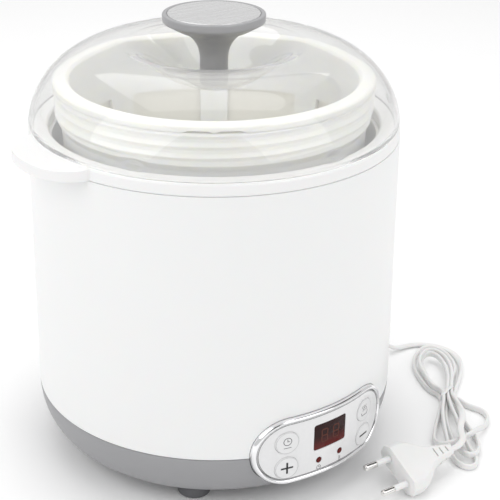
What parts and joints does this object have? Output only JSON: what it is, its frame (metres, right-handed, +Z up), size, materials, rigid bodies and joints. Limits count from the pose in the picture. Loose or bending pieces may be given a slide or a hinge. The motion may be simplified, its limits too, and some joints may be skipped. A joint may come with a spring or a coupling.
{
  "type": "yogurt maker",
  "caption": "Round countertop yogurt maker: heated tub with lift-out container, strainer basket, clear domed lid with knob, front key panel and tied mains cord.",
  "frame": {"origin": "middle of the outline of the appliance without its free cord, on the table plane under the feet", "axes": "+Z up; the control panel faces -Y; the cord leaves towards +X and the carrying tab points towards -X"},
  "size_m": [0.3109, 0.2594, 0.2687],
  "materials": {
    "white_housing": "satin moulded white polypropylene",
    "grey_base": "satin moulded grey polypropylene",
    "knob_grey": "satin grey moulded knob",
    "cream_pot": "food-grade natural polypropylene",
    "clear_lid": "clear glossy polystyrene",
    "mesh_cloth": "fine woven nylon strainer mesh",
    "rubber_foot": "moulded dark rubber",
    "brushed_insert": "linear brushed disc",
    "steel_parts": "zinc plated or nickel plated steel",
    "chrome_bezel": "bright chromed plastic",
    "chamber_metal": "drawn aluminium, plain",
    "silver_face": "glossy pearl white panel with printed icons",
    "display_lens": "smoked red display lens",
    "board": "solder-masked circuit board",
    "black_part": "black component moulding",
    "cord_white": "white PVC cable sheath and plug moulding"
  },
  "bodies": {
    "housing": {"base_screw_1": "steel_parts", "base_screw_2": "steel_parts", "base_screw_3": "steel_parts", "base_screw_4": "steel_parts", "base_shell": "grey_base", "control_board": "board", "cord_gland": "white_housing", "cord_hank": "cord_white", "cord_lead": "cord_white", "cord_tail": "cord_white", "display_module": "black_part", "display_window": "display_lens", "foot_1": "rubber_foot", "foot_2": "rubber_foot", "foot_3": "rubber_foot", "foot_4": "rubber_foot", "heating_chamber": "chamber_metal", "heating_plate": "chamber_metal", "lamp_lens_temp": "display_lens", "lamp_lens_time": "display_lens", "outer_shell": "white_housing", "panel_bezel": "chrome_bezel", "panel_face": "silver_face", "plug_body": "cord_white", "plug_pin_left": "steel_parts", "plug_pin_right": "steel_parts", "plug_sleeve_left": "cord_white", "plug_sleeve_right": "cord_white", "power_board": "board", "relay": "black_part", "rim_collar": "white_housing", "switch_heat": "black_part", "switch_minus": "black_part", "switch_plus": "black_part", "switch_set": "black_part", "temperature_sensor": "steel_parts", "terminal_block": "cream_pot", "thermal_fuse": "cream_pot", "transformer": "black_part", "twist_tie": "cord_white"},
    "container": {"inner_container": "cream_pot"},
    "basket": {"strainer_basket": "cream_pot", "strainer_mesh": "mesh_cloth"},
    "lid": {"dome_lid": "clear_lid", "lid_knob": "knob_grey", "knob_insert": "brushed_insert", "knob_washer": "rubber_foot", "knob_screw": "steel_parts"},
    "key_set": {"button_set": "silver_face"},
    "key_plus": {"button_plus": "silver_face"},
    "key_heat": {"button_heat": "silver_face"},
    "key_minus": {"button_minus": "silver_face"}
  },
  "joints": [
    {"name": "container_lift", "type": "slide", "parent": "housing", "child": "container", "axis": [0, 0, 1], "range_m": [0, 0.16]},
    {"name": "basket_lift", "type": "slide", "parent": "container", "child": "basket", "axis": [0, 0, 1], "range_m": [0, 0.17]},
    {"name": "lid_lift", "type": "slide", "parent": "basket", "child": "lid", "axis": [0, 0, 1], "range_m": [0, 0.12]},
    {"name": "press_set", "type": "slide", "parent": "housing", "child": "key_set", "axis": [0, 1, 0], "range_m": [0, 0.0008], "stiffness_N_per_m": 1500, "springref_m": -0.0006},
    {"name": "press_plus", "type": "slide", "parent": "housing", "child": "key_plus", "axis": [0, 1, 0], "range_m": [0, 0.0008], "stiffness_N_per_m": 1500, "springref_m": -0.0006},
    {"name": "press_heat", "type": "slide", "parent": "housing", "child": "key_heat", "axis": [0, 1, 0], "range_m": [0, 0.0008], "stiffness_N_per_m": 1500, "springref_m": -0.0006},
    {"name": "press_minus", "type": "slide", "parent": "housing", "child": "key_minus", "axis": [0, 1, 0], "range_m": [0, 0.0008], "stiffness_N_per_m": 1500, "springref_m": -0.0006}
  ]
}
